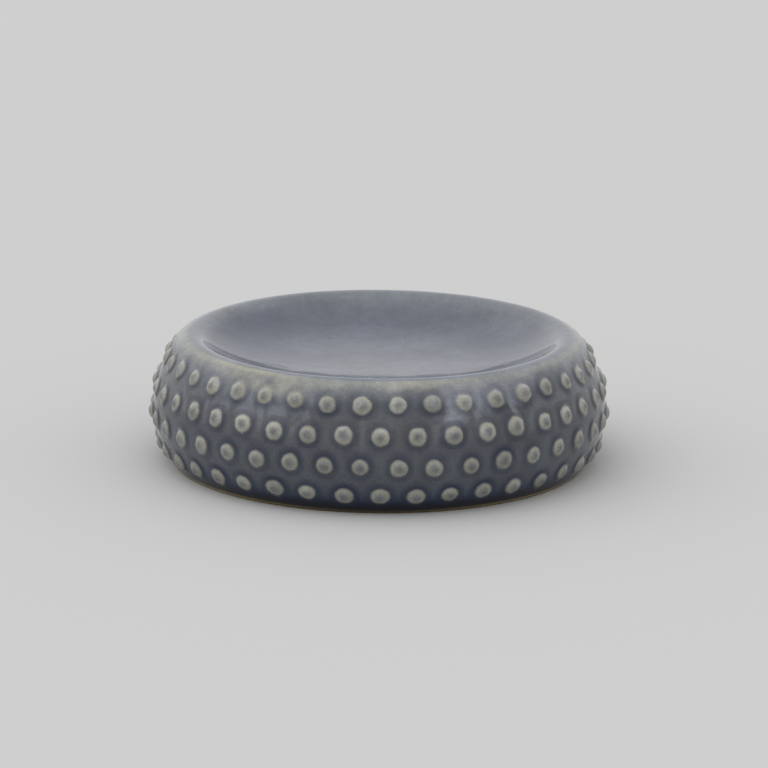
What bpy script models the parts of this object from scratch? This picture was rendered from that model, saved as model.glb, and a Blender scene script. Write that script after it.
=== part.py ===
# Round stoneware soap dish: a hollow cast body with a rolled rim, a shallow bowl and
# staggered rows of hobnails round its wall, standing on four non-slip pads.
# Lengths are in metres, +Z is up, and the dish stands centred on the origin.

import bpy
import bmesh
from math import asin, atan2, cos, pi, radians, sin, tau
from mathutils import Matrix, Vector

# Bowl and rim
RIM_RADIUS = 0.046              # axis to the crest of the rim
RIM_HEIGHT = 0.0313             # counter to the crest of the rim
RIM_ROUND = 0.0048              # radius of the roll
BOWL_DEPTH = 0.0086             # crest of the rim down to the middle of the bowl
BOWL_DISH = 0.0042              # rise of the bowl's round floor as far as the roll
BOWL_POWER = 8                  # the rest of the bowl's rise grows with this power of the radius

# Outer wall, from the roll downwards
SHOULDER_LEAN = radians(27)     # how far the straight stretch below the roll leans from upright
SHOULDER_LENGTH = 0.0059
WALL_BULGE = 0.022              # radius of the wall below it, seen from the side

# Clay thickness
WALL_THICKNESS = 0.0042
BOWL_THICKNESS = 0.0042
BASE_THICKNESS = 0.004

# Foot ring and vent
FOOT_WIDTH = 0.0042             # flat width of the foot ring
FOOT_EDGE = 0.0005              # chamfer on both its edges
VENT_RADIUS = 0.0015

# Hobnails
HOBNAILS_IN_ROW = 40
HOBNAIL_ROWS = 4
HOBNAIL_FOOT_MARGIN = 0.0060    # foot to the lowest row, measured along the wall
HOBNAIL_RIM_MARGIN = 0.0076     # top row to the crest of the rim, measured along the wall
HOBNAIL_RADIUS = 0.0027
HOBNAIL_HEIGHT = 0.0011         # how far a hobnail stands proud of the wall
HOBNAIL_SINK = 0.0003           # how far its middle lies inside the clay
HOBNAIL_SIDES = 8
HOBNAIL_RINGS = 4

# Pads
PAD_COUNT = 4
PAD_RADIUS = 0.005
PAD_THICKNESS = 0.0012
PAD_EDGE = 0.0002
PAD_SIDES = 24
PAD_INSET = 0.0042              # foot ring to the edge of a pad
PAD_PROUD = 0.0003              # how far the pads reach below the foot ring
ADHESIVE_GAP = 0.0003           # between a pad and the clay that it is stuck to

# Shares of the bowl's radius at which the section has a point
BOWL_SHARES = (0.0, 0.3, 0.5, 0.65, 0.76, 0.84, 0.9, 0.95, 1.0)
SLOPE_ROUNDS = 12               # enough for the slope at the roll to settle

TURNING_STEPS = 60
MERGE_DISTANCE = 0.00001
SMOOTH_ANGLE = radians(35)

# Heights that follow from the pads
FOOT_HEIGHT = PAD_PROUD
BASE_UNDERSIDE = PAD_THICKNESS + ADHESIVE_GAP
CAVITY_FLOOR = BASE_UNDERSIDE + BASE_THICKNESS


def remove_start_objects():
    for item in list(bpy.data.objects):
        bpy.data.objects.remove(item, do_unlink=True)


def new_collection(name):
    collection = bpy.data.collections.new(name)
    bpy.context.scene.collection.children.link(collection)
    return collection


def new_material(name, colour, roughness):
    material = bpy.data.materials.new(name)
    material.use_nodes = True
    shader = material.node_tree.nodes["Principled BSDF"]
    shader.inputs["Base Color"].default_value = (*colour, 1.0)
    shader.inputs["Roughness"].default_value = roughness
    shader.inputs["Metallic"].default_value = 0.0
    material.diffuse_color = (*colour, 1.0)
    return material


def new_object(name, mesh, collection, material=None):
    item = bpy.data.objects.new(name, mesh)
    collection.objects.link(item)
    if material:
        mesh.materials.append(material)
    return item


def on_circle(centre, radius, angle):
    return (centre[0] + radius * cos(angle), centre[1] + radius * sin(angle))


def arc(centre, radius, start, end, steps):
    """Points of an arc from one direction to another, both ends included."""
    return [on_circle(centre, radius, start + (end - start) * index / steps)
            for index in range(steps + 1)]


# The circles and corners that the section is drawn from, as (radius, height)

RIM_CENTRE = (RIM_RADIUS, RIM_HEIGHT - RIM_ROUND)
SHOULDER_TOP = on_circle(RIM_CENTRE, RIM_ROUND, SHOULDER_LEAN)
SHOULDER_BOTTOM = (SHOULDER_TOP[0] + SHOULDER_LENGTH * sin(SHOULDER_LEAN),
                   SHOULDER_TOP[1] - SHOULDER_LENGTH * cos(SHOULDER_LEAN))
WALL_CENTRE = on_circle(SHOULDER_BOTTOM, WALL_BULGE, SHOULDER_LEAN + pi)
WALL_LOWEST = asin((FOOT_HEIGHT + FOOT_EDGE - WALL_CENTRE[1]) / WALL_BULGE)
FOOT_OUTER = on_circle(WALL_CENTRE, WALL_BULGE, WALL_LOWEST)[0] - FOOT_EDGE
RECESS_RADIUS = FOOT_OUTER - FOOT_WIDTH - FOOT_EDGE

# Slope at which the bowl runs into the roll, so that the two are tangent there
BOWL_STEEPEST = pi / 4
for _ in range(SLOPE_ROUNDS):
    BOWL_EDGE = RIM_RADIUS - RIM_ROUND * sin(BOWL_STEEPEST)
    BOWL_RISE = BOWL_DEPTH - RIM_ROUND * (1 - cos(BOWL_STEEPEST)) - BOWL_DISH
    BOWL_STEEPEST = atan2(2 * BOWL_DISH + BOWL_POWER * BOWL_RISE, BOWL_EDGE)

# Lengths along the wall, from the foot up
BULGE_LENGTH = WALL_BULGE * (SHOULDER_LEAN - WALL_LOWEST)
WALL_LENGTH = BULGE_LENGTH + SHOULDER_LENGTH + RIM_ROUND * (pi / 2 - SHOULDER_LEAN)


def wall_place(distance):
    """Point and outward direction on the wall, at a distance along it from the foot."""
    if distance < BULGE_LENGTH:
        angle = WALL_LOWEST + distance / WALL_BULGE
        return on_circle(WALL_CENTRE, WALL_BULGE, angle), angle
    beyond = distance - BULGE_LENGTH
    if beyond < SHOULDER_LENGTH:
        return (SHOULDER_BOTTOM[0] - beyond * sin(SHOULDER_LEAN),
                SHOULDER_BOTTOM[1] + beyond * cos(SHOULDER_LEAN)), SHOULDER_LEAN
    angle = SHOULDER_LEAN + (beyond - SHOULDER_LENGTH) / RIM_ROUND
    return on_circle(RIM_CENTRE, RIM_ROUND, angle), angle


def bowl_place(share, depth):
    """Point of the bowl at a share of its radius, moved square into the clay by a depth."""
    slope = atan2(2 * BOWL_DISH * share + BOWL_POWER * BOWL_RISE * share ** (BOWL_POWER - 1), BOWL_EDGE)
    height = RIM_HEIGHT - BOWL_DEPTH + BOWL_DISH * share ** 2 + BOWL_RISE * share ** BOWL_POWER
    return (BOWL_EDGE * share + depth * sin(slope), height - depth * cos(slope))


def bowl_section():
    """From the middle of the bowl outwards and over the roll."""
    points = [bowl_place(share, 0.0) for share in BOWL_SHARES]
    points += arc(RIM_CENTRE, RIM_ROUND, pi / 2 + BOWL_STEEPEST, SHOULDER_LEAN, 7)[1:]
    return points


def wall_section():
    """Down the bulging wall, round the foot ring and in to the vent."""
    points = arc(WALL_CENTRE, WALL_BULGE, SHOULDER_LEAN, WALL_LOWEST, 7)
    points.append((FOOT_OUTER, FOOT_HEIGHT))
    points.append((FOOT_OUTER - FOOT_WIDTH, FOOT_HEIGHT))
    points.append((RECESS_RADIUS, FOOT_HEIGHT + FOOT_EDGE))
    points.append((RECESS_RADIUS, BASE_UNDERSIDE))
    points.append((VENT_RADIUS, BASE_UNDERSIDE))
    return points


def cavity_section():
    """Up through the vent, out along the floor, up the wall and back to the axis under the bowl."""
    inside_bulge = WALL_BULGE - WALL_THICKNESS
    floor_angle = asin((CAVITY_FLOOR - WALL_CENTRE[1]) / inside_bulge)
    points = [(VENT_RADIUS, CAVITY_FLOOR)]
    points += arc(WALL_CENTRE, inside_bulge, floor_angle, SHOULDER_LEAN, 4)
    points += [bowl_place(share, BOWL_THICKNESS) for share in reversed(BOWL_SHARES[::2])]
    return points


def turned(name, section, collection, material):
    """A section in the XZ plane, turned about the dish's axis."""
    mesh = bpy.data.meshes.new(name)
    points = [(radius, 0.0, height) for radius, height in section]
    mesh.from_pydata(points, [(index, index + 1) for index in range(len(points) - 1)], [])
    item = new_object(name, mesh, collection, material)
    screw = item.modifiers.new("turning", "SCREW")
    screw.axis = "Z"
    screw.angle = tau
    screw.steps = TURNING_STEPS
    screw.render_steps = TURNING_STEPS
    screw.use_merge_vertices = True
    screw.merge_threshold = MERGE_DISTANCE
    screw.use_smooth_shade = True
    return item


def make_hobnails(collection):
    """All hobnails as flattened balls whose middles lie just inside the clay."""
    shape = bmesh.new()
    size = Matrix.Diagonal((HOBNAIL_RADIUS, HOBNAIL_RADIUS, HOBNAIL_HEIGHT + HOBNAIL_SINK, 1.0))
    step = tau / HOBNAILS_IN_ROW
    row_pitch = (WALL_LENGTH - HOBNAIL_FOOT_MARGIN - HOBNAIL_RIM_MARGIN) / (HOBNAIL_ROWS - 1)
    for row in range(HOBNAIL_ROWS):
        point, angle = wall_place(HOBNAIL_FOOT_MARGIN + row * row_pitch)
        middle = Vector((point[0] - HOBNAIL_SINK * cos(angle), 0.0,
                         point[1] - HOBNAIL_SINK * sin(angle)))
        tilt = Matrix.Rotation(pi / 2 - angle, 4, "Y")
        for index in range(HOBNAILS_IN_ROW):
            turn = Matrix.Rotation((index + (row % 2) / 2) * step - pi / 2, 4, "Z")
            bmesh.ops.create_uvsphere(shape, u_segments=HOBNAIL_SIDES, v_segments=HOBNAIL_RINGS,
                                      radius=1.0, matrix=turn @ Matrix.Translation(middle) @ tilt @ size)
    mesh = bpy.data.meshes.new("hobnail_shapes")
    shape.to_mesh(mesh)
    shape.free()
    mesh.shade_smooth()
    item = new_object("hobnail_shapes", mesh, collection)
    item.hide_render = True
    item.display_type = "WIRE"
    return item


def make_body(collection, cutters, material):
    section = bowl_section() + wall_section() + cavity_section()
    body = turned("dish_body", section, collection, material)
    union = body.modifiers.new("hobnails", "BOOLEAN")
    union.operation = "UNION"
    union.solver = "EXACT"
    union.object = make_hobnails(cutters)
    return body


def make_pads(collection, material):
    """Discs with a small chamfer, on a circle inside the foot ring, one mesh for all."""
    shape = bmesh.new()
    bmesh.ops.create_cone(shape, cap_ends=True, segments=PAD_SIDES, radius1=PAD_RADIUS,
                          radius2=PAD_RADIUS, depth=PAD_THICKNESS)
    rims = [edge for edge in shape.edges if abs(edge.verts[0].co.z - edge.verts[1].co.z) < MERGE_DISTANCE]
    bmesh.ops.bevel(shape, geom=rims, offset=PAD_EDGE, segments=1, affect="EDGES")
    mesh = bpy.data.meshes.new("non_slip_pad")
    shape.to_mesh(mesh)
    shape.free()
    mesh.materials.append(material)
    mesh.shade_smooth()
    mesh.set_sharp_from_angle(angle=SMOOTH_ANGLE)
    pad_circle = RECESS_RADIUS - PAD_INSET - PAD_RADIUS
    for index in range(PAD_COUNT):
        angle = (index + 0.5) * tau / PAD_COUNT
        pad = new_object("non_slip_pad_%d" % (index + 1), mesh, collection)
        pad.location = (pad_circle * cos(angle), pad_circle * sin(angle), PAD_THICKNESS / 2)


remove_start_objects()
dish = new_collection("soap_dish")
shapes = new_collection("shapes_joined_to_the_body")
make_body(dish, shapes, new_material("glazed stoneware, grey blue", (0.10, 0.12, 0.15), 0.15))
make_pads(dish, new_material("pad rubber, clear grey", (0.30, 0.31, 0.31), 0.6))
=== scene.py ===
from math import asin, atan2, cos, hypot, pi, radians, sin, tau

import bpy
from mathutils import Matrix, Vector


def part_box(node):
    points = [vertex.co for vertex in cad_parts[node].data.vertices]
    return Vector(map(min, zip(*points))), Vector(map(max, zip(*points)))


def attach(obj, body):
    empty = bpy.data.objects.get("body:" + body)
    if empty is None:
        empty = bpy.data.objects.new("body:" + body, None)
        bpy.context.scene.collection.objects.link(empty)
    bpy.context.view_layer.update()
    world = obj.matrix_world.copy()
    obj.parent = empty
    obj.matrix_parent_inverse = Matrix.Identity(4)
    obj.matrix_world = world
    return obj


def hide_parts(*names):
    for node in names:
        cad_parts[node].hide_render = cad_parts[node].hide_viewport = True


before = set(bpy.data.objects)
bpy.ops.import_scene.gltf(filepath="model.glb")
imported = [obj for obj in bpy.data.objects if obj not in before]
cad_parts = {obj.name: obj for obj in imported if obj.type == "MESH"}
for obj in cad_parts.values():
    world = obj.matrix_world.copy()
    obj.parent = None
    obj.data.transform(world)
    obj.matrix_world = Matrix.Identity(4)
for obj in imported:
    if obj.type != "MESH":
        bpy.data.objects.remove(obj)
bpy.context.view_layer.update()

# A round hobnail soap dish in a blue-grey glaze that breaks to cream where it runs thin.
# The dictionaries give lengths in millimetres and angles in degrees.

mm = 0.001
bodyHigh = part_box("dish_body")[1]


def hexColour(code):
    # sRGB hex to the linear colour that Blender's nodes take
    parts = [int(code[place:place + 2], 16) / 255 for place in (1, 3, 5)]
    return [part / 12.92 if part <= 0.04045 else ((part + 0.055) / 1.055) ** 2.4 for part in parts] + [1.0]


nodesInRow, nodeWide, nodeHigh = 14, 190, 320       # how the editor lays the nodes out
smoothly = {"interpolation_type": "SMOOTHSTEP"}     # for an edge that eases in and out


def addNode(tree, kind, *links, stops=(), **settings):
    # the links fill the node's visible inputs in order: a node, a socket, a plain value, or None to skip
    node = tree.nodes.new(kind)
    row, column = divmod(len(tree.nodes), nodesInRow)
    node.location = (nodeWide * column, -nodeHigh * row)
    for name, value in settings.items():
        setattr(node, name, value)
    for number, (place, code) in enumerate(stops):
        points = node.color_ramp.elements
        point = points[number] if number < 2 else points.new(place)
        point.position = place
        point.color = hexColour(code)
    sockets = [socket for socket in node.inputs if socket.enabled]
    for socket, value in zip(sockets, links):
        if isinstance(value, bpy.types.Node):
            value = [output for output in value.outputs if output.enabled][0]
        if isinstance(value, bpy.types.NodeSocket):
            tree.links.new(value, socket)
        elif value is not None:
            socket.default_value = value
    return node


# Section of the dish, from the middle of the bowl over the rim, down the wall and in under the foot

dishSizes = {
    "crestHeight": bodyHigh.z / mm,
    "footHeight": 0.06,             # the pads give under the dish's weight, so that the foot all but touches
    "rimRadius": 46.0,
    "rimRound": 4.8,
    "bowlDepth": 8.6,
    "bowlDish": 4.5,                # rise of the bowl's round floor as far as the roll of the rim
    "bowlPower": 6,                 # the rest of its rise grows with this power of the radius
    "shoulderLean": 27.0,
    "shoulderLength": 5.9,
    "wallBulge": 22.0,
    "clayWall": 4.2,
    "clayBase": 4.0,
    "footWidth": 4.2,
    "footEdge": 0.5,
    "recessHeight": 1.5,
    "recessFillet": 0.6,
    "ventRadius": 1.5,
    "ventEdge": 0.3,
    "columns": 720,
    "bowlRows": 24,
    "bowlSpacing": 0.75,            # under 1 draws the rows together towards the rim
}


def onCircle(centre, radius, angle):
    return (centre[0] + radius * cos(angle), centre[1] + radius * sin(angle))


def addArc(section, centre, radius, start, end, steps, hollow=False):
    # a hollow arc is seen from inside its circle, so outward points back at the centre
    for step in range(1, steps + 1):
        angle = start + (end - start) * step / steps
        section.append((*onCircle(centre, radius, angle), angle + pi if hollow else angle))


def addLine(section, end, outward, steps=1):
    start = section[-1]
    for step in range(1, steps + 1):
        share = step / steps
        place = [start[axis] + (end[axis] - start[axis]) * share for axis in (0, 1)]
        section.append((*place, outward))


def dishSection(sizes):
    lean = radians(sizes["shoulderLean"])
    roll = sizes["rimRound"]
    rim = (sizes["rimRadius"], sizes["crestHeight"] - roll)
    top = onCircle(rim, roll, lean)
    bottom = (top[0] + sizes["shoulderLength"] * sin(lean), top[1] - sizes["shoulderLength"] * cos(lean))
    bulge = sizes["wallBulge"]
    wall = onCircle(bottom, bulge, lean + pi)
    foot = sizes["footHeight"]
    edge = sizes["footEdge"]
    lowest = asin((foot + edge - wall[1]) / bulge)

    # bowl: a round floor that steepens towards the roll of the rim and meets it tangent there
    dish, power = sizes["bowlDish"], sizes["bowlPower"]
    steepest = pi / 4
    for attempt in range(12):       # each try comes nearer, and 12 are plenty
        bowlEdge = sizes["rimRadius"] - roll * sin(steepest)
        rest = sizes["bowlDepth"] - roll * (1 - cos(steepest)) - dish
        steepest = atan2(2 * dish + power * rest, bowlEdge)
    lowestPoint = sizes["crestHeight"] - sizes["bowlDepth"]

    def bowlPlace(share, depth):
        slope = atan2(2 * dish * share + power * rest * share ** (power - 1), bowlEdge)
        height = lowestPoint + dish * share ** 2 + rest * share ** power
        return (bowlEdge * share + depth * sin(slope), height - depth * cos(slope), pi / 2 + slope)

    section = [bowlPlace((step / sizes["bowlRows"]) ** sizes["bowlSpacing"], 0)
               for step in range(sizes["bowlRows"] + 1)]
    addArc(section, rim, roll, pi / 2 + steepest, lean, steps=18)

    # wall, foot ring and the recess under the base
    addLine(section, bottom, lean, steps=14)
    addArc(section, wall, bulge, lean, lowest, steps=58)
    corner = onCircle(wall, bulge, lowest)
    addLine(section, (corner[0] - edge, foot), -pi / 4, steps=2)
    addLine(section, (section[-1][0] - sizes["footWidth"], foot), -pi / 2, steps=3)
    addLine(section, (section[-1][0] - edge, foot + edge), -3 * pi / 4)
    recess = section[-1][0]
    under = sizes["recessHeight"]
    small = sizes["recessFillet"]
    addLine(section, (recess, under - small), pi)
    addArc(section, (recess - small, under - small), small, 0, pi / 2, steps=3, hollow=True)
    addLine(section, (sizes["ventRadius"] + sizes["ventEdge"], under), -pi / 2, steps=3)
    addLine(section, (sizes["ventRadius"], under + sizes["ventEdge"]), -3 * pi / 4)

    # inside of the casting, which only the vent opens
    inside = bulge - sizes["clayWall"]
    cavityFloor = under + sizes["clayBase"]
    floorAngle = asin((cavityFloor - wall[1]) / inside)
    addLine(section, (sizes["ventRadius"], cavityFloor), pi)
    addLine(section, onCircle(wall, inside, floorAngle), pi / 2)
    addArc(section, wall, inside, floorAngle, lean, steps=3, hollow=True)
    edgeToMiddle = (1.0, 0.85, 0.65, 0.4, 0.0)      # the bowl's underside
    for share in edgeToMiddle:
        radius, height, outward = bowlPlace(share, sizes["clayWall"])
        section.append((radius, height, outward + pi))
    return section


def sectionMesh(name, section, zeroHeight):
    # one vertex a row, with its outward direction and its distance along the skin from the foot, in mm
    mesh = bpy.data.meshes.new(name)
    mesh.from_pydata([(radius * mm, 0, height * mm) for radius, height, outward in section], [], [])
    passed = [0.0]
    for here, before in zip(section[1:], section):
        passed.append(passed[-1] + hypot(here[0] - before[0], here[1] - before[1]))
    closeTo = 0.001
    foot = min(length for length, point in zip(passed, section) if point[1] <= zeroHeight + closeTo)
    along = mesh.attributes.new("along", "FLOAT", "POINT")
    outward = mesh.attributes.new("outward", "FLOAT_VECTOR", "POINT")
    for row, (radius, height, angle) in enumerate(section):
        along.data[row].value = foot - passed[row]
        outward.data[row].vector = (cos(angle), 0, sin(angle))
    return mesh


# Geometry Nodes: turn the section and raise the hobnails

nailSizes = {
    "Columns": dishSizes["columns"],
    "Hobnails in a row": 40,
    "Hobnail rows": 4,
    "Lowest row": 5.95,
    "Row pitch": 7.33,
    "Foot of a hobnail": 3.1,
    "Top of a hobnail": 0.3,
    "Height of a hobnail": 1.1,
    "Squatness": 1.04,
    "Size spread": 0.07,
    "Wander": 0.3,
    "Lumpiness": 0.9,
    "Lumps in a metre": 420.0,
    "Hand wobble": 0.12,
    "Wobbles in a metre": 90.0,
    "Seed": 7,
}

# where things begin and end on the wall, in mm along the skin from the foot
wallPlaces = {
    "reliefStart": 0.4,
    "squatRows": 1.3,               # rows of hobnails, up from the lowest
    "lumpsGrow": (8.0, 28.0, 0.45, 1.0),    # from here to there, and from this share of the lumps to that
    "sideFades": (3.5, 2.2, 0.0, 1.0),      # from a hobnail's middle: past the first, its sides look alike
    "leastDistance": 0.3,           # from a hobnail's middle, so that nothing is divided by zero
    "bareFootTop": 0.2,
    "bareFootEnd": -6.2,
    "hollowStart": -52.0,
}


def turningTree():
    tree = bpy.data.node_groups.new("Turned and hobnailed", "GeometryNodeTree")
    tree.interface.new_socket("Section", in_out="INPUT", socket_type="NodeSocketGeometry")
    for label, value in nailSizes.items():
        kind = "NodeSocketInt" if isinstance(value, int) else "NodeSocketFloat"
        tree.interface.new_socket(label, in_out="INPUT", socket_type=kind)
    for label in ("Glaze", "Clay"):
        tree.interface.new_socket(label, in_out="INPUT", socket_type="NodeSocketMaterial")
    tree.interface.new_socket("Piece", in_out="OUTPUT", socket_type="NodeSocketGeometry")
    given = addNode(tree, "NodeGroupInput").outputs
    inRow = given["Hobnails in a row"]

    # a flat grid whose rows are the section's points and whose columns go round
    size = addNode(tree, "GeometryNodeAttributeDomainSize", given["Section"])
    ringPoints = addNode(tree, "ShaderNodeMath", given["Columns"], 1.0, operation="ADD")
    grid = addNode(tree, "GeometryNodeMeshGrid", 1.0, 1.0, size, ringPoints)
    index = addNode(tree, "GeometryNodeInputIndex")
    middle = addNode(tree, "ShaderNodeMath", index, 0.5, operation="ADD")
    rowShare = addNode(tree, "ShaderNodeMath", middle, ringPoints, operation="DIVIDE")
    row = addNode(tree, "ShaderNodeMath", rowShare, operation="FLOOR")
    before = addNode(tree, "ShaderNodeMath", row, ringPoints, operation="MULTIPLY")
    column = addNode(tree, "ShaderNodeMath", index, before, operation="SUBTRACT")
    share = addNode(tree, "ShaderNodeMath", column, given["Columns"], operation="DIVIDE")
    angle = addNode(tree, "ShaderNodeMath", share, tau, operation="MULTIPLY")

    # the section's own values, read for each row
    place = addNode(tree, "GeometryNodeInputPosition")
    places = addNode(tree, "GeometryNodeSampleIndex", given["Section"], place, row, data_type="FLOAT_VECTOR")
    alongName = addNode(tree, "GeometryNodeInputNamedAttribute", "along", data_type="FLOAT")
    along = addNode(tree, "GeometryNodeSampleIndex", given["Section"], alongName, row, data_type="FLOAT")
    outName = addNode(tree, "GeometryNodeInputNamedAttribute", "outward", data_type="FLOAT_VECTOR")
    outward = addNode(tree, "GeometryNodeSampleIndex", given["Section"], outName, row,
                      data_type="FLOAT_VECTOR")
    section = addNode(tree, "ShaderNodeSeparateXYZ", places)
    out = addNode(tree, "ShaderNodeSeparateXYZ", outward)

    # the nearest row of hobnails, and the nearest hobnail in it
    above = addNode(tree, "ShaderNodeMath", along, given["Lowest row"], operation="SUBTRACT")
    rows = addNode(tree, "ShaderNodeMath", above, given["Row pitch"], operation="DIVIDE")
    rounded = addNode(tree, "ShaderNodeMath", rows, operation="ROUND")
    lastRow = addNode(tree, "ShaderNodeMath", given["Hobnail rows"], 1.0, operation="SUBTRACT")
    nailRow = addNode(tree, "ShaderNodeClamp", rounded, 0.0, lastRow)
    odd = addNode(tree, "ShaderNodeMath", nailRow, 2.0, operation="MODULO")
    stagger = addNode(tree, "ShaderNodeMath", odd, 0.5, operation="MULTIPLY")
    turns = addNode(tree, "ShaderNodeMath", share, inRow, operation="MULTIPLY")
    columns = addNode(tree, "ShaderNodeMath", turns, stagger, operation="SUBTRACT")
    nailColumn = addNode(tree, "ShaderNodeMath", columns, operation="ROUND")
    wrapped = addNode(tree, "ShaderNodeMath", nailColumn, inRow, operation="FLOORED_MODULO")
    rowCount = addNode(tree, "ShaderNodeMath", nailRow, inRow, operation="MULTIPLY")
    nailId = addNode(tree, "ShaderNodeMath", rowCount, wrapped, operation="ADD")

    # each hobnail was set by hand on the model: it wanders a little and differs in size and height
    randomPlace = addNode(tree, "FunctionNodeRandomValue", (-1, -1, -1), (1, 1, 1), nailId, given["Seed"],
                          data_type="FLOAT_VECTOR")
    drift = addNode(tree, "ShaderNodeVectorMath", randomPlace, given["Wander"], operation="SCALE")
    driftParts = addNode(tree, "ShaderNodeSeparateXYZ", drift)
    otherSeed = addNode(tree, "ShaderNodeMath", given["Seed"], 1.0, operation="ADD")
    smallest = addNode(tree, "ShaderNodeMath", 1.0, given["Size spread"], operation="SUBTRACT")
    largest = addNode(tree, "ShaderNodeMath", 1.0, given["Size spread"], operation="ADD")
    nailSize = addNode(tree, "FunctionNodeRandomValue", smallest, largest, nailId, otherSeed,
                       data_type="FLOAT")

    # distance from its middle, in mm along the skin
    radius = addNode(tree, "ShaderNodeMath", section.outputs["X"], tau / mm, operation="MULTIPLY")
    pitch = addNode(tree, "ShaderNodeMath", radius, inRow, operation="DIVIDE")
    offColumn = addNode(tree, "ShaderNodeMath", columns, nailColumn, operation="SUBTRACT")
    across = addNode(tree, "ShaderNodeMath", offColumn, pitch, driftParts.outputs["X"],
                     operation="MULTIPLY_ADD")
    rowPlace = addNode(tree, "ShaderNodeMath", nailRow, given["Row pitch"], operation="MULTIPLY")
    offRow = addNode(tree, "ShaderNodeMath", above, rowPlace, operation="SUBTRACT")
    upward = addNode(tree, "ShaderNodeMath", offRow, driftParts.outputs["Y"], operation="ADD")

    # the lower rows were pressed flatter and wider
    squat = addNode(tree, "ShaderNodeMapRange", nailRow, 0.0, wallPlaces["squatRows"],
                    given["Squatness"], 1.0)
    tallPart = addNode(tree, "ShaderNodeMath", upward, squat, operation="MULTIPLY")
    widePart = addNode(tree, "ShaderNodeMath", across, squat, operation="DIVIDE")
    offset = addNode(tree, "ShaderNodeCombineXYZ", widePart, tallPart)
    plainDistance = addNode(tree, "ShaderNodeVectorMath", offset, operation="LENGTH").outputs["Value"]
    sized = addNode(tree, "ShaderNodeMath", plainDistance, nailSize, operation="MULTIPLY")

    # where the skin lies before any relief, for the noises that make it uneven
    sine = addNode(tree, "ShaderNodeMath", angle, operation="SINE")
    cosine = addNode(tree, "ShaderNodeMath", angle, operation="COSINE")
    bareX = addNode(tree, "ShaderNodeMath", section.outputs["X"], sine, operation="MULTIPLY")
    bareY = addNode(tree, "ShaderNodeMath", section.outputs["X"], cosine, operation="MULTIPLY")
    bare = addNode(tree, "ShaderNodeCombineXYZ", bareX, bareY, section.outputs["Z"])
    lumps = addNode(tree, "ShaderNodeTexNoise", bare, given["Lumps in a metre"], 1.0)
    wobble = addNode(tree, "ShaderNodeTexNoise", bare, given["Wobbles in a metre"], 1.0)
    lumpSigned = addNode(tree, "ShaderNodeMath", lumps, 0.5, operation="SUBTRACT")
    topRows = addNode(tree, "ShaderNodeMapRange", along, *wallPlaces["lumpsGrow"], **smoothly)
    lumpSize = addNode(tree, "ShaderNodeMath", given["Lumpiness"], topRows, operation="MULTIPLY")
    distance = addNode(tree, "ShaderNodeMath", lumpSigned, lumpSize, sized, operation="MULTIPLY_ADD")

    # relief of the hobnail, with the glaze's fillet at its foot, plus the wobble of hand finishing
    rise = addNode(tree, "ShaderNodeMapRange", distance, given["Foot of a hobnail"],
                   given["Top of a hobnail"], 0.0, 1.0, **smoothly)
    tall = addNode(tree, "ShaderNodeMath", rise, given["Height of a hobnail"], operation="MULTIPLY")
    nailHeight = addNode(tree, "ShaderNodeMath", tall, nailSize, operation="DIVIDE")
    onWall = addNode(tree, "ShaderNodeMath", along, wallPlaces["reliefStart"], operation="GREATER_THAN")
    signedWobble = addNode(tree, "ShaderNodeMath", wobble, 0.5, operation="SUBTRACT")
    waver = addNode(tree, "ShaderNodeMath", signedWobble, given["Hand wobble"], operation="MULTIPLY")
    raised = addNode(tree, "ShaderNodeMath", nailHeight, waver, operation="ADD")
    relief = addNode(tree, "ShaderNodeMath", raised, onWall, operation="MULTIPLY")
    lift = addNode(tree, "ShaderNodeMath", relief, mm, operation="MULTIPLY")
    newRadius = addNode(tree, "ShaderNodeMath", out.outputs["X"], lift, section.outputs["X"],
                        operation="MULTIPLY_ADD")
    newHeight = addNode(tree, "ShaderNodeMath", out.outputs["Z"], lift, section.outputs["Z"],
                        operation="MULTIPLY_ADD")
    x = addNode(tree, "ShaderNodeMath", newRadius, sine, operation="MULTIPLY")
    plusY = addNode(tree, "ShaderNodeMath", newRadius, cosine, operation="MULTIPLY")
    y = addNode(tree, "ShaderNodeMath", plusY, -1.0, operation="MULTIPLY")
    spot = addNode(tree, "ShaderNodeCombineXYZ", x, y, newHeight)
    turned = addNode(tree, "GeometryNodeSetPosition", grid, None, spot)

    # what the glaze reads: distance along the skin, distance from a hobnail, and which side of it
    fade = addNode(tree, "ShaderNodeMapRange", distance, *wallPlaces["sideFades"], **smoothly)
    safe = addNode(tree, "ShaderNodeMath", plainDistance, wallPlaces["leastDistance"], operation="MAXIMUM")
    upShare = addNode(tree, "ShaderNodeMath", upward, safe, operation="DIVIDE")
    aboveNail = addNode(tree, "ShaderNodeMath", upShare, fade, operation="MULTIPLY")
    nailTone = addNode(tree, "FunctionNodeRandomValue", 0.0, 1.0, nailId, given["Seed"], data_type="FLOAT")
    stored = turned
    for label, value in (("alongSkin", along), ("nailDistance", distance), ("aboveNail", aboveNail),
                         ("nailTone", nailTone)):
        stored = addNode(tree, "GeometryNodeStoreNamedAttribute", stored, None, label, value,
                         data_type="FLOAT", domain="POINT")

    # close the seam and the two ends on the axis, where points lie within a thousandth of a millimetre
    merged = addNode(tree, "GeometryNodeMergeByDistance", stored, None, mm / 1000)
    smooth = addNode(tree, "GeometryNodeSetShadeSmooth", merged)
    real = addNode(tree, "GeometryNodeRealizeInstances", smooth)
    glazed = addNode(tree, "GeometryNodeSetMaterial", real, None, given["Glaze"])

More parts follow.
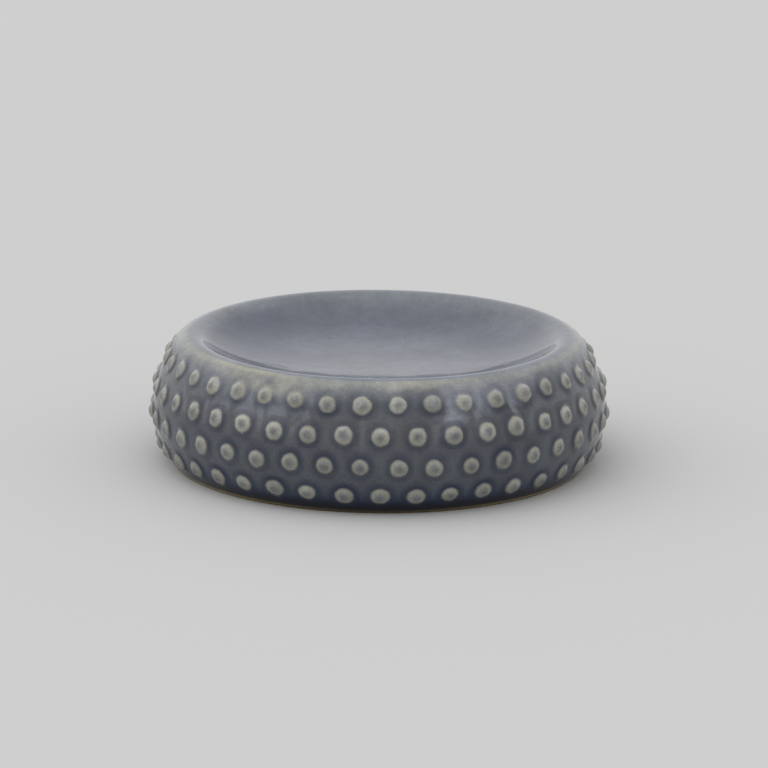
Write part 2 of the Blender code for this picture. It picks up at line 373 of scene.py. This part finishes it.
    # the foot ring and the hollow are bare clay
    stays = addNode(tree, "GeometryNodeInputNamedAttribute", "alongSkin", data_type="FLOAT")
    under = addNode(tree, "ShaderNodeMath", stays, wallPlaces["bareFootTop"], operation="LESS_THAN")
    outside = addNode(tree, "ShaderNodeMath", stays, wallPlaces["bareFootEnd"], operation="GREATER_THAN")
    bareRing = addNode(tree, "ShaderNodeMath", under, outside, operation="MULTIPLY")
    inside = addNode(tree, "ShaderNodeMath", stays, wallPlaces["hollowStart"], operation="LESS_THAN")
    bareClay = addNode(tree, "ShaderNodeMath", bareRing, inside, operation="ADD")
    finished = addNode(tree, "GeometryNodeSetMaterial", glazed, bareClay, given["Clay"])
    addNode(tree, "NodeGroupOutput", finished)
    return tree


def turnPiece(name, mesh, tree, values):
    # runs the tree on a section and leaves a plain mesh
    piece = bpy.data.objects.new(name, mesh)
    bpy.context.scene.collection.objects.link(piece)
    modifier = piece.modifiers.new("turning", "NODES")
    modifier.node_group = tree
    for item in tree.interface.items_tree:
        if item.in_out == "INPUT" and item.name in values:
            modifier[item.identifier] = values[item.name]
    graph = bpy.context.evaluated_depsgraph_get()
    made = bpy.data.meshes.new_from_object(piece.evaluated_get(graph), preserve_all_data_layers=True,
                                           depsgraph=graph)
    piece.modifiers.remove(modifier)
    piece.data = made
    made.name = name
    return piece


# Reactive glaze on stoneware, dipped and fired to about 1250 degrees: glossy, cream where it runs thin over
# the shoulders of the hobnails, navy where it pools round them and towards the foot. Its places are in mm
# along the skin, from the foot over the rim to the middle of the bowl.

glazeLook = {
    "roughness": 0.065,
    "index": 1.5,
    "rippleStrength": 0.35,
    "rippleDepth": 0.05,
    "skinLength": 82.0,
    "skin": ((0.0, "#3a3020"), (0.7, "#262016"), (1.3, "#141115"), (2.2, "#060b1a"), (3.4, "#0a152c"),
             (4.5, "#263146"), (5.6, "#384150"), (7.0, "#464a54"), (9.0, "#474b54"), (11.0, "#4c5057"),
             (14.0, "#4e5258"), (17.0, "#484b53"), (19.0, "#4d5056"), (21.0, "#535558"), (25.0, "#4b4f54"),
             (27.0, "#464a50"), (28.3, "#545960"), (30.0, "#6b6f74"), (31.5, "#7a7d7f"), (33.0, "#8a8c8b"),
             (34.5, "#797d81"), (36.0, "#6c717a"), (37.5, "#71767e"), (39.0, "#757a81"), (41.0, "#696e77"),
             (45.0, "#5e636f"), (51.0, "#545a69"), (57.0, "#585e6d"), (61.0, "#5f6472"), (68.0, "#646976"),
             (81.0, "#6a707a")),

    # colours of what lies over the skin
    "clayEdge": "#917f55",
    "base": "#4a4f5c",
    "flow": "#82858f",
    "crest": "#9e9e96",
    # cream of the glaze's break, with a painted highlight in it
    "creamLineAndHighlight": "#abaa97",
    # painted dark reflection inside the lip
    "paintedLipReflection": "#4a5a7c",
    # painted shade for the bowl's left inner wall
    "paintedBowlShade": "#3a435c",
    "seam": "#82858f",
    "halo": "#162038",
    "nailRing": "#8b8a81",
    "nailRingHigh": "#98978d",
    "nailMiddle": "#696c6e",
    # pale veil of glaze, partly a painted highlight
    "nailVeilAndHighlight": "#94969b",
    "specks": "#222632",

    # bands of glaze, and of painted light and shade: where each comes in, is whole, begins to fade and is
    # gone
    "bands": {
        "flow": (18.0, 24.0, 31.0, 33.5),
        "crest": (30.2, 32.6, 33.6, 35.6),
        "creamLineAndHighlight": (32.7, 33.9, 34.3, 35.4),
        "paintedLipReflection": (34.3, 35.2, 36.0, 37.0),
        "paintedBowlShade": (38.0, 43.0, 50.0, 60.0),
    },

    # how much there is of each round the dish: degrees from the back by way of the left, and the amount
    "around": {
        "flow": ((0, 0.3), (60, 0.8), (105, 0.2), (118, 0.25), (130, 0.38), (150, 0.5), (163, 0.35),
                 (169, 0.1), (191, 0.08), (198, 0.95), (216, 0.9), (226, 0.25), (240, 0.3), (300, 0.8)),
        "crest": ((0, 0.3), (85, 0.15), (105, 0.1), (125, 0.2), (138, 0.55), (150, 0.85), (160, 0.4),
                  (178, 0.25), (187, 0.7), (200, 0.35), (220, 0.1), (270, 0.1), (330, 0.5)),
        # the cream line, with its painted highlight, is strongest at the left, towards the light
        "creamLineAndHighlight": ((0, 0.1), (100, 0.1), (115, 0.3), (130, 0.45), (140, 0.8), (148, 0.5), (158, 0.1),
                      (172, 0.05), (180, 0.2), (192, 0.2), (200, 0.05), (300, 0.1)),
        # the blue line, a painted dark reflection, is laid mostly at the front
        "paintedLipReflection": ((0, 0.05), (100, 0.05), (135, 0.15), (150, 0.25), (165, 0.4), (180, 0.45),
                     (200, 0.35), (230, 0.25), (260, 0.15), (300, 0.05)),
        "creamReach": ((0, 0.5), (60, 0.6), (110, 0.3), (122, 0.4), (132, 0.65), (142, 1.0), (152, 1.05),
                       (163, 0.55), (175, 0.42), (185, 0.3), (195, 0.3), (205, 0.6), (217, 0.6),
                       (230, 0.28), (245, 0.25), (300, 0.5)),
    },

    # what changes up the skin: from this place to that, and from this value to that
    "upTheSkin": {
        "runs": (20.0, 27.0, 0.0, 5.5),
        "creamReach": (22.0, 28.0, 0.0, 4.0),
        "shoulderEnd": (34.5, 31.5, 0.0, 1.0),
        "underBase": (-5.0, -6.5, 0.0, 1.0),
        "heavierStreaks": (24.0, 30.0, 0.0, 0.26),
        "seamStart": (14.0, 19.0, 0.0, 1.0),
        "seamEnd": (35.0, 33.0, 0.0, 1.0),
        "haloSide": (16.0, 24.0, 0.5, -0.2),
        "haloAllRound": (22.0, 30.0, 0.62, 0.38),
        "ringHigher": (5.0, 14.0, -0.16, -0.02),
        "ringWhole": (3.2, 4.9, 0.35, 1.0),
        "ringTone": (13.0, 21.0, 0.0, 1.0),
        "middleWhole": (23.0, 29.0, 1.0, 0.65),
        "veiledAndLit": (17.0, 26.0, 0.0, 1.0),
        "outOfBowl": (38.0, 33.0, 0.0, 1.0),
        # painted light and shade: upper rings lighter on top, darker below
        "paintedLightOnTops": (15.0, 21.0, 0.0, 0.15),
    },

    # soft edges: gone at the first value, whole at the second, and how strong it is there
    "wipedEdge": (1.5, 0.6, 0.0, 1.0),
    "streakEdge": (0.40, 0.66, 0.0, 1.0),
    "seamEdge": (0.016, 0.003, 0.0, 0.12),
    "haloEdge": (4.4, 2.6, 0.0, 0.86),
    "ringEdge": (2.64, 1.9, 0.0, 1.0),
    "middleEdge": (1.85, 0.55, 0.0),
    "veilAndHighlightEdge": (0.52, 0.66, 0.0, 0.8),
    "pinholeEdge": (0.045, 0.025, 0.0, 0.8),

    # noises: size in mm, detail and roughness; the grain is coarser than the real one, so that it shows
    "noises": {
        "clouds": (9.0, 2.0, 0.5),
        "patches": (2.2, 3.0, 0.5),
        "grain": (0.6, 3.0, 0.65),
        "runs": (5.0, 1.0, 0.5),
        "streaks": (4.5, 1.5, 0.5),
    },
    "streaksDrawn": (1.0, 1.0, 0.6),
    "streaksBent": 0.6,
    "pinholeSpacing": 9.0,          # mm
    "sideStart": 8.0,               # mm from the middle plane to where the dish's sides begin
    "sideWhole": 40.0,
    "clayEdgeInFront": 0.15,
    "paintedBowlShadeAmount": 0.55,
    "seamAt": -4.4,
    "grainAmount": 0.6,
    "wallGrain": 0.2,               # on top of the bowl's
    "cloudAmount": 0.12,
    "cloudRange": (0.3, 0.7),
    "patchAmount": 0.4,
    "haloSpread": 0.3,              # by how much the halos of single hobnails differ
    "nailSpread": 0.1,              # and their tones
}


def glazeMaterial():
    material = bpy.data.materials.new("reactive glaze, dipped and fired")
    material.use_nodes = True
    tree = material.node_tree
    shader = tree.nodes["Principled BSDF"]
    look = glazeLook
    along, distance, aboveNail, nailTone = [
        addNode(tree, "ShaderNodeAttribute", attribute_name=label).outputs["Fac"]
        for label in ("alongSkin", "nailDistance", "aboveNail", "nailTone")]
    coords = addNode(tree, "ShaderNodeTexCoord").outputs["Object"]

    # clouds, patches, grain and runs, and streaks that are drawn out down the wall
    drawn = addNode(tree, "ShaderNodeVectorMath", coords, look["streaksDrawn"], operation="MULTIPLY")
    noises = {}
    for label, (size, detail, rough) in look["noises"].items():
        if label == "streaks":
            place, bent = drawn, look["streaksBent"]
        else:
            place, bent = coords, 0.0
        noises[label] = addNode(tree, "ShaderNodeTexNoise", place, 1 / (size * mm), detail, rough, None, bent)

    # how far round the dish, as a share of a turn that starts at the back, and what differs on the way
    parts = addNode(tree, "ShaderNodeSeparateXYZ", coords).outputs
    forward = addNode(tree, "ShaderNodeMath", parts["Y"], -1.0, operation="MULTIPLY")
    turn = addNode(tree, "ShaderNodeMath", parts["X"], forward, operation="ARCTAN2")
    around = addNode(tree, "ShaderNodeMath", turn, 1 / tau, 0.5, operation="MULTIPLY_ADD")
    amounts = {}
    for label, places in look["around"].items():
        amounts[label] = addNode(tree, "ShaderNodeFloatCurve", None, around)
        points = amounts[label].mapping.curves[0].points
        points[0].location = (0.0, places[0][1])
        points[1].location = (1.0, places[0][1])
        for degrees, amount in places[1:]:
            points.new(degrees / 360, amount)
        amounts[label].mapping.update()

    # what changes with the height on the skin
    up = {label: addNode(tree, "ShaderNodeMapRange", along, *change)
          for label, change in look["upTheSkin"].items()}

    # the glaze ran unevenly off the shoulder, so that the edge between its colours wavers there
    runsOff = addNode(tree, "ShaderNodeMath", noises["runs"], 0.5, operation="SUBTRACT")
    runsHere = addNode(tree, "ShaderNodeMath", up["runs"], up["shoulderEnd"], operation="MULTIPLY")
    reachOff = addNode(tree, "ShaderNodeMath", amounts["creamReach"], 0.5, operation="SUBTRACT")
    reachHere = addNode(tree, "ShaderNodeMath", up["creamReach"], up["shoulderEnd"], operation="MULTIPLY")
    reached = addNode(tree, "ShaderNodeMath", reachOff, reachHere, along, operation="MULTIPLY_ADD")
    wavered = addNode(tree, "ShaderNodeMath", runsOff, runsHere, reached, operation="MULTIPLY_ADD")
    share = addNode(tree, "ShaderNodeMath", wavered, look["skinLength"], operation="DIVIDE")
    skin = addNode(tree, "ShaderNodeValToRGB", share,
                   stops=[(place / look["skinLength"], code) for place, code in look["skin"]])

    # the glaze was wiped off above the foot: a thin amber edge of clay shows, faint in front and behind
    # and whole at the sides
    sideStart, sideWhole = look["sideStart"] * mm, look["sideWhole"] * mm
    offMiddle = addNode(tree, "ShaderNodeMath", parts["X"], operation="ABSOLUTE")
    wiped = addNode(tree, "ShaderNodeMapRange", offMiddle, sideStart, sideWhole, look["clayEdgeInFront"], 1.0)
    wipedEdge = addNode(tree, "ShaderNodeMapRange", along, *look["wipedEdge"], **smoothly)
    clayEdge = addNode(tree, "ShaderNodeMath", wiped, wipedEdge, operation="MULTIPLY")

    # bands of glaze: lavender flows that left the rim and ran down between the upper hobnails, the crest
    # of the shoulder, where the glaze is thinnest and breaks to cream, a thin cream line at its top, where it
    # broke most, with a painted highlight laid into it, strongest at the left, and above that a blue line,
    # which is a painted dark reflection inside the lip, strongest at the front
    bands = {}
    for label, (start, whole, fading, gone) in look["bands"].items():
        height = wavered if label == "crest" else along
        comesIn = addNode(tree, "ShaderNodeMapRange", height, start, whole, 0.0, 1.0, **smoothly)
        fadesOut = addNode(tree, "ShaderNodeMapRange", height, gone, fading, 0.0, 1.0, **smoothly)
        bands[label] = addNode(tree, "ShaderNodeMath", comesIn, fadesOut, operation="MULTIPLY")
        if label in amounts:
            bands[label] = addNode(tree, "ShaderNodeMath", bands[label], amounts[label], operation="MULTIPLY")
    heavier = addNode(tree, "ShaderNodeMath", noises["streaks"], up["heavierStreaks"], operation="ADD")
    streak = addNode(tree, "ShaderNodeMapRange", heavier, *look["streakEdge"], **smoothly)
    bands["flow"] = addNode(tree, "ShaderNodeMath", bands["flow"], streak, operation="MULTIPLY")

    # painted shade: the bowl's left inner wall, below the rim, is laid darker and bluer, where it faces
    # away from the light
    shadeSide = addNode(tree, "ShaderNodeMapRange", parts["X"], -sideStart, -sideWhole, 0.0,
                       look["paintedBowlShadeAmount"], **smoothly)
    bands["paintedBowlShade"] = addNode(tree, "ShaderNodeMath", shadeSide, bands["paintedBowlShade"], operation="MULTIPLY")

    # seam of the two-part mould, a faint pale line down the wall on opposite sides
    offSeam = addNode(tree, "ShaderNodeMath", turn, radians(look["seamAt"]), operation="SUBTRACT")
    sine = addNode(tree, "ShaderNodeMath", offSeam, operation="SINE")
    seamDistance = addNode(tree, "ShaderNodeMath", sine, operation="ABSOLUTE")
    seamLine = addNode(tree, "ShaderNodeMapRange", seamDistance, *look["seamEdge"], **smoothly)
    seamBand = addNode(tree, "ShaderNodeMath", up["seamStart"], up["seamEnd"], operation="MULTIPLY")
    seam = addNode(tree, "ShaderNodeMath", seamLine, seamBand, operation="MULTIPLY")

    # halo where the glaze pools round a hobnail: above the lower ones, round and below the upper ones
    haloOut = addNode(tree, "ShaderNodeMapRange", distance, *look["haloEdge"], **smoothly)
    pooled = addNode(tree, "ShaderNodeMath", aboveNail, up["haloSide"], up["haloAllRound"],
                     operation="MULTIPLY_ADD", use_clamp=True)
    haloShare = addNode(tree, "ShaderNodeMapRange", nailTone, 0.0, 1.0, 1 + look["haloSpread"],
                        1 - look["haloSpread"])
    haloEven = addNode(tree, "ShaderNodeMath", haloOut, pooled, operation="MULTIPLY")
    halo = addNode(tree, "ShaderNodeMath", haloEven, haloShare, operation="MULTIPLY", use_clamp=True)

    # cream shoulder and grey top of a hobnail; some of the upper ones carry a pale veil of glaze,
    # partly a painted highlight
    ragged = addNode(tree, "ShaderNodeMath", noises["patches"], 0.5, distance, operation="MULTIPLY_ADD")
    uneven = addNode(tree, "ShaderNodeMath", aboveNail, up["ringHigher"], ragged, operation="MULTIPLY_ADD")
    ringWide = addNode(tree, "ShaderNodeMapRange", uneven, *look["ringEdge"], **smoothly)
    ring = addNode(tree, "ShaderNodeMath", ringWide, up["ringWhole"], operation="MULTIPLY")
    ringColour = addNode(tree, "ShaderNodeMix", up["ringTone"], hexColour(look["nailRing"]),
                         hexColour(look["nailRingHigh"]), data_type="RGBA")
    middle = addNode(tree, "ShaderNodeMapRange", uneven, *look["middleEdge"], up["middleWhole"], **smoothly)
    veilAndHighlightPatch = addNode(tree, "ShaderNodeMapRange", noises["patches"], *look["veilAndHighlightEdge"], **smoothly)
    veilAndHighlightHere = addNode(tree, "ShaderNodeMath", veilAndHighlightPatch, up["veiledAndLit"], operation="MULTIPLY")
    veilAndHighlight = addNode(tree, "ShaderNodeMath", veilAndHighlightHere, ring, operation="MULTIPLY")

    # pinholes, a few millimetres to centimetres apart
    pinCells = addNode(tree, "ShaderNodeTexVoronoi", coords, 1 / (look["pinholeSpacing"] * mm))
    pinhole = addNode(tree, "ShaderNodeMapRange", pinCells.outputs["Distance"], *look["pinholeEdge"],
                      **smoothly)

    # all of these over the plain skin, one on the other
    coats = {"clayEdge": clayEdge, "base": up["underBase"], **bands, "seam": seam, "halo": halo,
             "nailRing": ring, "nailMiddle": middle, "nailVeilAndHighlight": veilAndHighlight, "specks": pinhole}
    coat = skin
    for label, share in coats.items():
        over = ringColour if label == "nailRing" else hexColour(look[label])
        coat = addNode(tree, "ShaderNodeMix", share, coat, over, data_type="RGBA")

    # tone: clouds, patches and grain everywhere, and each hobnail a little lighter or darker; the rings of
    # the upper hobnails carry painted light and shade, lighter on top and darker below
    cloudTone = addNode(tree, "ShaderNodeMapRange", noises["clouds"], *look["cloudRange"],
                        1 - look["cloudAmount"], 1 + look["cloudAmount"])
    patchOff = addNode(tree, "ShaderNodeMath", noises["patches"], 0.5, operation="SUBTRACT")
    patchTone = addNode(tree, "ShaderNodeMath", patchOff, look["patchAmount"], 1.0,
                        operation="MULTIPLY_ADD")
    grainOff = addNode(tree, "ShaderNodeMath", noises["grain"], 0.5, operation="SUBTRACT")
    grainHere = addNode(tree, "ShaderNodeMath", up["outOfBowl"], look["wallGrain"], look["grainAmount"],
                        operation="MULTIPLY_ADD")
    grainTone = addNode(tree, "ShaderNodeMath", grainOff, grainHere, 1.0, operation="MULTIPLY_ADD")
    nailShare = addNode(tree, "ShaderNodeMapRange", nailTone, 0.0, 1.0, -look["nailSpread"],
                        look["nailSpread"])
    nailToneAndPaintedLight = addNode(tree, "ShaderNodeMath", aboveNail, up["paintedLightOnTops"], nailShare, operation="MULTIPLY_ADD")
    nailGain = addNode(tree, "ShaderNodeMath", nailToneAndPaintedLight, ring, 1.0, operation="MULTIPLY_ADD")
    tone = cloudTone
    for part in (patchTone, grainTone, nailGain):
        tone = addNode(tree, "ShaderNodeMath", tone, part, operation="MULTIPLY")
    colour = addNode(tree, "ShaderNodeVectorMath", coat, tone, operation="SCALE")
    tree.links.new(colour.outputs["Vector"], shader.inputs["Base Color"])
    shader.inputs["Roughness"].default_value = look["roughness"]
    shader.inputs["IOR"].default_value = look["index"]
    ripple = addNode(tree, "ShaderNodeBump", look["rippleStrength"], look["rippleDepth"] * mm, None,
                     noises["patches"])
    tree.links.new(ripple.outputs["Normal"], shader.inputs["Normal"])
    return material


# Stoneware clay, wiped clean of glaze and fired bare: dry and tan, with dark iron specks and a tooth that
# takes no shine
clayLook = {"pale": "#7d6640", "dark": "#4a3a22", "roughness": 0.85, "grainSize": 0.7, "depth": 0.08}
darkestAt, palestAt, toothStrength = 0.35, 0.6, 0.5


def speckledMaterial(name, look):
    # two tones of fine grain, and the tooth that the grain gives the surface
    material = bpy.data.materials.new(name)
    material.use_nodes = True
    tree = material.node_tree
    shader = tree.nodes["Principled BSDF"]
    coords = addNode(tree, "ShaderNodeTexCoord").outputs["Object"]
    grain = addNode(tree, "ShaderNodeTexNoise", coords, 1 / (look["grainSize"] * mm), 4.0)
    tone = addNode(tree, "ShaderNodeValToRGB", grain,
                   stops=((darkestAt, look["dark"]), (palestAt, look["pale"])))
    tree.links.new(tone.outputs["Color"], shader.inputs["Base Color"])
    shader.inputs["Roughness"].default_value = look["roughness"]
    tooth = addNode(tree, "ShaderNodeBump", toothStrength, look["depth"] * mm, None, grain)
    tree.links.new(tooth.outputs["Normal"], shader.inputs["Normal"])
    return material


print("turning the dish")
clay = speckledMaterial("stoneware clay, fired bare", clayLook)
turning = turningTree()
dishMesh = sectionMesh("dish_section", dishSection(dishSizes), dishSizes["footHeight"])
dish = turnPiece("dish_in_glaze", dishMesh, turning, {**nailSizes, "Glaze": glazeMaterial(), "Clay": clay})
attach(dish, "root")
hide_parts("dish_body")
print("dish triangles", sum(len(face.vertices) - 2 for face in dish.data.polygons))

# Non-slip pads: moulded rubber discs with a ribbed sole, each stuck on with a film of adhesive

padSizes = {
    "count": 4,
    "circle": 36.96,                # from the dish's axis to a pad's
    "radius": 5.0,
    "thickness": 1.2,
    "edge": 0.25,
    "ribWidth": 0.45,
    "grooveWidth": 0.5,
    "grooveDepth": 0.18,
    "grooves": 3,
    "filmInset": 0.25,
    "filmThickness": 0.28,
    "lift": 0.01,                   # keeps the soles off the table's own plane
    "columns": 96,
}

# Rubber moulded against a fine matt tool: an even grey skin with a dull, soft shine
padLook = {"pale": "#9c9e9b", "dark": "#8a8c8a", "roughness": 0.55, "grainSize": 0.25, "depth": 0.02}
# Acrylic adhesive, rolled out as a film and pressed on: milky cream, smooth, a little glossier than rubber
filmLook = {"pale": "#c9c4b4", "dark": "#b0aa98", "roughness": 0.4, "grainSize": 0.6, "depth": 0.01}


def padSection(sizes):
    # a domed edge above and below, and round grooves in the sole
    radius, top, edge = sizes["radius"], sizes["thickness"], sizes["edge"]
    section = [(0, top, pi / 2)]
    addLine(section, (radius - edge, top), pi / 2, steps=6)
    addArc(section, (radius - edge, top - edge), edge, pi / 2, 0, steps=5)
    addLine(section, (radius, edge), 0, steps=2)
    addArc(section, (radius - edge, edge), edge, 0, -pi / 2, steps=5)
    groove = sizes["grooveWidth"]
    for number in range(sizes["grooves"]):
        addLine(section, (section[-1][0] - sizes["ribWidth"], 0), -pi / 2)
        addLine(section, (section[-1][0] - groove / 4, sizes["grooveDepth"]), -3 * pi / 4)
        addLine(section, (section[-1][0] - groove / 2, sizes["grooveDepth"]), -pi / 2)
        addLine(section, (section[-1][0] - groove / 4, 0), -pi / 4)
    addLine(section, (0, 0), -pi / 2, steps=4)
    return section


def filmSection(sizes):
    radius, low = sizes["radius"] - sizes["filmInset"], sizes["thickness"]
    high = low + sizes["filmThickness"]
    section = [(0, high, pi / 2)]
    addLine(section, (radius, high), pi / 2, steps=4)
    addLine(section, (radius, low), 0)
    addLine(section, (0, low), -pi / 2, steps=4)
    return section


def addPads():
    still = {**nailSizes, "Columns": padSizes["columns"], "Height of a hobnail": 0.0, "Hand wobble": 0.0}
    rubber = speckledMaterial("moulded rubber, fine matt mould skin", padLook)
    film = speckledMaterial("acrylic adhesive film, pressed on", filmLook)
    padMesh = sectionMesh("pad_section", padSection(padSizes), 0.0)
    filmMesh = sectionMesh("film_section", filmSection(padSizes), padSizes["thickness"])
    first = {"pad": turnPiece("pad_pattern", padMesh, turning, {**still, "Glaze": rubber, "Clay": rubber}),
             "film": turnPiece("film_pattern", filmMesh, turning, {**still, "Glaze": film, "Clay": film})}
    for number in range(padSizes["count"]):
        angle = (number + 0.5) * tau / padSizes["count"]
        spot = (padSizes["circle"] * cos(angle), padSizes["circle"] * sin(angle), padSizes["lift"])
        move = Matrix.Translation(Vector(spot) * mm)
        for part, name in (("pad", "rubber_pad_%d"), ("film", "adhesive_film_%d")):
            mesh = first[part].data.copy()
            mesh.transform(move)
            piece = bpy.data.objects.new(name % (number + 1), mesh)
            bpy.context.scene.collection.objects.link(piece)
            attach(piece, "root")
            if part == "pad":
                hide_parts("non_slip_pad_%d" % (number + 1))
    for pattern in first.values():
        bpy.data.objects.remove(pattern)
    print("pads set under the base")


addPads()

# Room: a pale seamless table, soft light from above, and the camera

roomLook = {
    "floor": "#cecfce",
    "floorSize": 3000,
    "floorRoughness": 0.9,
    "floorShine": 0.1,
    "zenith": 0.97,
    "horizon": 0.78,
    "leftBias": 0.12,               # how much brighter the left side is than the middle
    "sunStrength": 0.34,
    "sunSpread": 60,                # degrees, so wide that the shadow has no edge
    "sunFrom": (-0.9, 0.1, 1.3),
}


def makeRoom():
    low = -roomLook["floorSize"] * mm / 2
    mesh = bpy.data.meshes.new("table_top")
    mesh.from_pydata([(low, low, 0), (-low, low, 0), (-low, -low, 0), (low, -low, 0)], [], [(0, 1, 2, 3)])
    floor = bpy.data.objects.new("table_top", mesh)
    bpy.context.scene.collection.objects.link(floor)
    material = bpy.data.materials.new("matt table paper")
    material.use_nodes = True
    shader = material.node_tree.nodes["Principled BSDF"]
    shader.inputs["Base Color"].default_value = hexColour(roomLook["floor"])
    shader.inputs["Roughness"].default_value = roomLook["floorRoughness"]
    shader.inputs["Specular IOR Level"].default_value = roomLook["floorShine"]
    mesh.materials.append(material)

    lamp = bpy.data.lights.new("soft window light", "SUN")
    lamp.energy = roomLook["sunStrength"]
    lamp.angle = radians(roomLook["sunSpread"])
    window = bpy.data.objects.new("soft window light", lamp)
    bpy.context.scene.collection.objects.link(window)
    window.rotation_euler = (-Vector(roomLook["sunFrom"])).to_track_quat("-Z", "Y").to_euler()
    window.visible_glossy = False

    world = bpy.data.worlds.new("soft white room")
    bpy.context.scene.world = world
    world.use_nodes = True
    tree = world.node_tree
    tree.nodes.clear()
    direction = addNode(tree, "ShaderNodeTexCoord").outputs["Generated"]
    parts = addNode(tree, "ShaderNodeSeparateXYZ", direction).outputs
    upward = addNode(tree, "ShaderNodeMapRange", parts["Z"], 0.0, 1.0, roomLook["horizon"],
                     roomLook["zenith"])
    leftward = addNode(tree, "ShaderNodeMath", parts["X"], -roomLook["leftBias"], 1.0,
                       operation="MULTIPLY_ADD")
    strength = addNode(tree, "ShaderNodeMath", upward, leftward, operation="MULTIPLY")
    light = addNode(tree, "ShaderNodeBackground", (1, 1, 1, 1), strength)
    seen = addNode(tree, "ShaderNodeBackground", hexColour(roomLook["floor"]), 1.0)
    rays = addNode(tree, "ShaderNodeLightPath")
    mixed = addNode(tree, "ShaderNodeMixShader", rays.outputs["Is Camera Ray"], light, seen)
    addNode(tree, "ShaderNodeOutputWorld", mixed)


photoCamera = {
    "focalPixels": 4080,
    "framePixels": 768,
    "distance": 1000,
    "elevation": 14.38,
    "turn": -0.38,
    "roll": 0.58,
    "target": (1.1, 0, 18.32),      # the point in the middle of the frame
    "sensor": 36,
}


def makeCamera(setup):
    data = bpy.data.cameras.new("photo camera")
    data.sensor_width = setup["sensor"]
    data.lens = setup["focalPixels"] / setup["framePixels"] * setup["sensor"]
    camera = bpy.data.objects.new("photo camera", data)
    bpy.context.scene.collection.objects.link(camera)
    high, roll = radians(setup["elevation"]), radians(setup["roll"])
    ahead = Vector((0, cos(high), -sin(high)))
    level, upright = Vector((1, 0, 0)), Vector((0, sin(high), cos(high)))
    right = level * cos(roll) + upright * sin(roll)
    up = upright * cos(roll) - level * sin(roll)
    place = (Vector(setup["target"]) - ahead * setup["distance"]) * mm
    turned = Matrix((right, up, -ahead)).transposed().to_4x4()
    camera.matrix_world = Matrix.Rotation(radians(setup["turn"]), 4, "Z") @ Matrix.Translation(place) @ turned
    bpy.context.scene.camera = camera


makeRoom()
makeCamera(photoCamera)
bpy.context.scene.view_settings.view_transform = "Standard"
